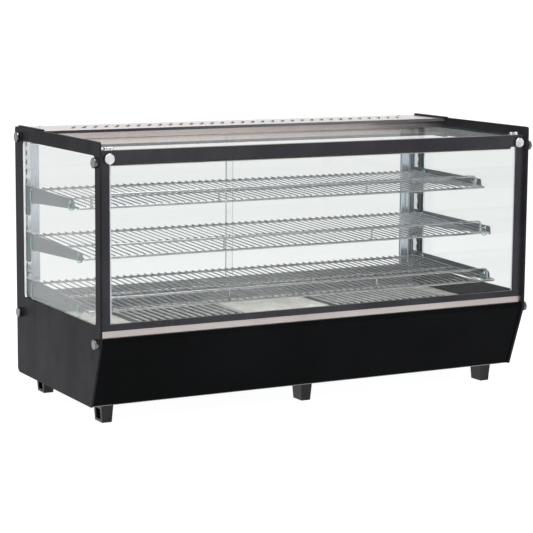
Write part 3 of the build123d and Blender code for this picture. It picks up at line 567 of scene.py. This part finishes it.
def add_knobs():
    """Turned clamp knobs: necked skirt, straight grip, polished rim and a spun face."""
    grips = {"front": bmesh.new(), "side": bmesh.new()}
    faces = {"front": bmesh.new(), "side": bmesh.new()}
    skirt = [(0, 2.5), (9.6, 2.5), (9.6, 3.2), (12.3, 3.4), (12.5, 3.8), (12.5, 10.6), (12.2, 11.3)]
    skirt += [(11.5, 11.85), (11.1, 12.0), (10.8, 11.9), (10.7, 11.7)]
    disc = [(10.7, 11.7), (9.5, 11.62), (6.0, 11.58), (1.2, 11.56), (0, 11.5)]
    for low, high in islands("clamp_knobs"):
        direction = outward(low, high)
        middle = (low + high) / 2
        for k in range(3):
            if direction[k]:
                middle[k] = (high if direction[k] > 0 else low)[k] - direction[k] * KNOB_REACH * MM
        place = facing(middle, direction)
        where = "front" if direction.y else "side"
        lathe(grips[where], skirt, place, 48)
        lathe(faces[where], disc, place, 48)
    add_piece("front_knob_grips", grips["front"], CHROME, "case", ("clamp_knobs",), 30)
    add_piece("front_knob_faces", faces["front"], SPUN_FACE, "case")
    # The side knobs take the darker, painted-shade copies of the chrome and the face.
    add_piece("side_knob_grips", grips["side"], SHADED_CHROME, "case", (), 30)
    add_piece("side_knob_faces", faces["side"], SHADED_KNOB_FACE, "case")


def add_washers():
    """Dark neck rings with a rounded lip under the knobs."""
    mesh = bmesh.new()
    ring = [(9.4, 0.05), (11.2, 0.05), (11.7, 0.5), (11.7, 1.7), (11.3, 2.3), (9.5, 2.45)]
    ring += [(9.4, 2.45)]
    for low, high in islands("knob_washers"):
        middle = (low + high) / 2
        size = high - low
        thin = 0 if size.x < size.y else 1
        direction = Vector((0, 0, 0))
        direction[thin] = 1 if thin == 0 and middle.x > 0 else -1
        middle[thin] = (low if direction[thin] > 0 else high)[thin]
        lathe(mesh, ring, facing(middle, direction), 40)
    add_piece("knob_neck_rings", mesh, BLACK_PLASTIC, "case", ("knob_washers",))


def add_clips():
    """Chrome clips on the front bar: a plate with two studs and a rolled bar between them."""
    mesh = bmesh.new()
    low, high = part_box("glass_clips")
    y = (low.y + high.y) / 2
    half, thick = CLIP_PLATE
    stud = [(0, 1.5), (4.3, 1.5), (4.5, 2.2), (4.5, 6.4), (4.0, 7.4), (3.0, 7.9), (0, 8.1)]
    roll = [(0, 0), (2.4, 0.3), (2.9, 1.2), (2.9, 23.8), (2.4, 24.7), (0, 25)]
    for side in (-1, 1):
        left, right = sorted(side * x * MM for x in CLIP_SPAN)
        corner = (right, y + half * MM, low.z + thick * MM)
        slab(mesh, (left, y - half * MM, low.z), corner, 0.5 * MM)
        for x in CLIP_STUDS:
            lathe(mesh, stud, Matrix.Translation((side * x * MM, y, low.z)), 28)
        x, rise = CLIP_ROLL
        lathe(mesh, roll, facing((side * x * MM, y, low.z + rise * MM), (side, 0, 0)), 24)
    add_piece("clip_bodies", mesh, CHROME, "case", ("glass_clips",))


def add_screws():
    """Pan-head screws at every CAD screw, the cross recess shown as a black inset cross of painted
    shade.
    """
    head, cross = bmesh.new(), bmesh.new()
    dome = [(0, -2.0), (1.9, -2.0), (1.9, 0), (3.6, 0.0), (3.6, 0.7), (3.2, 1.5), (2.2, 2.0)]
    dome += [(0, 2.15)]
    for low, high in islands("sheet_screws"):
        upright = high.z - low.z > high.y - low.y
        direction = (0, 0, 1) if upright else (0, 1, 0)
        middle = (low + high) / 2
        middle[2 if upright else 1] = (high.z if upright else high.y) - SCREW_HEAD * MM
        place = facing(middle, direction)
        lathe(head, dome, place, 24)
        # Painted shade: a black plastic cross sunk into each head stands in for the shade inside the
        # recess.
        foot, rim = [Vector((0, 0, z * MM)) for z in RECESS_DEPTH]
        for half in (RECESS, RECESS[::-1]):
            corner = Vector((half[0] * MM, half[1] * MM, 0))
            slab(cross, -corner + foot, corner + rim, 0, place)
    add_piece("screw_heads", head, SCREW_ZINC, "case", ("sheet_screws",))
    add_piece("screw_recess_shade", cross, BLACK_PLASTIC, "case")


# ---- tie loops -----------------------------------------------------------------------------
def add_ties():
    """Soft clear loops through the brackets' end holes, each hanging a little differently."""
    mesh = bmesh.new()
    for low, high in islands("bracket_ties"):
        middle = (low + high) / 2
        half = (high - low) / 2
        lean = random.uniform(-1.0, 1.0) * MM
        points = []
        for i in range(TIE_STEPS):
            angle = 2 * math.pi * i / TIE_STEPS
            c, t = math.cos(angle), math.sin(angle)
            across = math.copysign(abs(c) ** 0.55, c) * (half.x - TIE_RADIUS)
            up = math.copysign(abs(t) ** 0.62, t) * (half.z - TIE_RADIUS)
            wobble = lean * 0.3 * math.sin(2 * angle)
            points.append(middle + Vector((across, wobble, up)))
        ring_tube(mesh, points, TIE_RADIUS, 8)
    add_piece("tie_loops", mesh, TIE, "case", ("bracket_ties",), 60)


# ---- canopy louvres ------------------------------------------------------------------------
def add_louvres():
    """Small pressed hoods over the canopy's vent holes, open towards the front."""
    mesh = bmesh.new()
    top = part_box("canopy_cover")[1].z
    wide, deep, rise = LOUVRE_SIZE
    for row, y in enumerate(LOUVRE_ROWS):
        shift = LOUVRE_PITCH / 2 * row
        for i in range(LOUVRE_COUNT):
            x = LOUVRE_PITCH * (i - LOUVRE_COUNT // 2) + shift
            rings = []
            for level in range(HOOD_LEVELS + 1):
                phi = math.pi / 2 * level / HOOD_LEVELS
                flat, height = math.cos(phi), rise * math.sin(phi)
                ring = []
                for k in range(HOOD_STEPS + 1):
                    theta = math.pi * (1.56 * k / HOOD_STEPS - 0.28)
                    across = wide * math.cos(theta) * flat
                    back = deep * math.sin(theta) * flat
                    ring.append(mesh.verts.new((x + across, y + back, top + height)))
                rings.append(ring)
            for one, two in zip(rings, rings[1:]):
                for k in range(HOOD_STEPS):
                    mesh.faces.new((one[k], one[k + 1], two[k + 1], two[k]))
    bmesh.ops.remove_doubles(mesh, verts=mesh.verts, dist=1e-7)
    add_piece("canopy_louvres", mesh, STAINLESS, "case")


# ---- floor, light and camera ---------------------------------------------------------------
FLOOR_HALF = 14.0
FLOOR_GLOW = (0.67, 0.92)
BACKDROP_DIM = (0.16, 0.165, 0.17, 1.0)
REAR_LEVEL = 0.87


def add_floor():
    """Plain pale floor that fades into the backdrop, dimmer as seen through the panes."""
    data = bpy.data.meshes.new("floor")
    corners = [(-1, -1), (1, -1), (1, 1), (-1, 1)]
    data.from_pydata([(x * FLOOR_HALF, y * FLOOR_HALF, 0) for x, y in corners], [], [(0, 1, 2, 3)])
    floor = bpy.data.objects.new("floor", data)
    bpy.context.scene.collection.objects.link(floor)
    s = Shader("floor_paint")
    s.base(roughness=0.9, specular_ior_level=0.1)
    s.put("Base Color", s.blend(s.noise(2.0, 3.0), rgb("8c8c8c"), rgb("919191")))
    s.put("Emission Color", rgb("ffffff"))
    seen = s.tree.nodes.new("ShaderNodeLightPath").outputs["Is Camera Ray"]
    s.put("Emission Strength", s.remap(seen, 0.0, 1.0, *FLOOR_GLOW))
    data.materials.append(s.material)


def area_light(name, place, target, width, height, power):
    """Rectangular lamp at place, turned to target."""
    data = bpy.data.lights.new(name, "AREA")
    data.shape = "RECTANGLE"
    data.size = width
    data.size_y = height
    data.energy = power
    light = bpy.data.objects.new(name, data)
    light.location = place
    light.rotation_euler = (Vector(target) - Vector(place)).to_track_quat("-Z", "Y").to_euler()
    bpy.context.scene.collection.objects.link(light)


def add_world():
    """Soft studio surroundings: white backdrop, bright front and rear right, dimmer sides."""
    world = bpy.data.worlds.new("studio")
    world.use_nodes = True
    tree = world.node_tree
    direction = tree.nodes.new("ShaderNodeTexCoord").outputs["Generated"]
    back = tree.nodes["Background"]

    def lobe(towards, narrow, wide):
        """Bright patch around a direction: full inside the cosine narrow, none beyond wide."""
        dot = tree.nodes.new("ShaderNodeVectorMath")
        dot.operation = "DOT_PRODUCT"
        tree.links.new(direction, dot.inputs[0])
        dot.inputs[1].default_value = Vector(towards).normalized()
        fade = tree.nodes.new("ShaderNodeMapRange")
        fade.interpolation_type = "SMOOTHSTEP"
        tree.links.new(dot.outputs["Value"], fade.inputs[0])
        fade.inputs[1].default_value = wide
        fade.inputs[2].default_value = narrow
        return fade.outputs[0]

    def combine(kind, one, two):
        node = tree.nodes.new("ShaderNodeMath")
        node.operation = kind
        tree.links.new(one, node.inputs[0])
        if isinstance(two, float):
            node.inputs[1].default_value = two
        else:
            tree.links.new(two, node.inputs[1])
        return node.outputs[0]

    def larger(one, two):
        return combine("MAXIMUM", one, two)

    bright = larger(lobe((0.0, -1.0, 0.0), 0.93, 0.78), lobe((-0.6, -0.8, 0.25), 0.85, 0.55))
    rear = combine("MULTIPLY", lobe((0.55, 0.9, 0.1), 0.80, 0.55), REAR_LEVEL)
    bright = larger(bright, rear)
    bright = larger(bright, lobe((0.0, 0.0, 1.0), 0.95, 0.6))
    bright = larger(bright, tree.nodes.new("ShaderNodeLightPath").outputs["Is Camera Ray"])
    mix = tree.nodes.new("ShaderNodeMix")
    mix.data_type = "RGBA"
    tree.links.new(bright, mix.inputs[0])
    mix.inputs[6].default_value = BACKDROP_DIM
    mix.inputs[7].default_value = (1.0, 1.0, 1.0, 1.0)
    tree.links.new(mix.outputs[2], back.inputs[0])
    back.inputs[1].default_value = 1.0
    bpy.context.scene.world = world


CAMERA_PLACE = (-2.3218, -4.2595, 1.0446)
CAMERA_YAW = 28.4333
CAMERA_PITCH = 8.5002
CAMERA_ROLL = 0.4115
CAMERA_LENS = 126.84
CAMERA_SENSOR = 36.0


def add_camera():
    data = bpy.data.cameras.new("camera")
    data.sensor_width = CAMERA_SENSOR
    data.lens = CAMERA_LENS
    data.clip_end = 60.0
    camera = bpy.data.objects.new("camera", data)
    turn = Matrix.Rotation(-math.radians(CAMERA_YAW), 4, "Z")
    tilt = Matrix.Rotation(math.radians(90.0 - CAMERA_PITCH), 4, "X")
    roll = Matrix.Rotation(math.radians(CAMERA_ROLL), 4, "Z")
    camera.matrix_world = Matrix.Translation(CAMERA_PLACE) @ turn @ tilt @ roll
    bpy.context.scene.collection.objects.link(camera)
    bpy.context.scene.camera = camera


add_knobs()
add_washers()
add_clips()
add_screws()
add_ties()
add_louvres()
softened("feet", "feet_moulded", FOOT_PLASTIC, "case", 0.9 * MM)
add_floor()
add_world()
area_light("key", (-2.6, -2.6, 3.4), (0.0, 0.0, 0.3), 2.4, 1.8, 60.0)
area_light("top", (0.1, -0.1, 2.6), (0.0, 0.0, 0.2), 2.2, 1.6, 45.0)
area_light("fill", (3.2, -2.0, 2.0), (0.0, 0.0, 0.3), 2.0, 1.6, 12.0)
add_camera()
bpy.context.scene.view_settings.view_transform = "Standard"
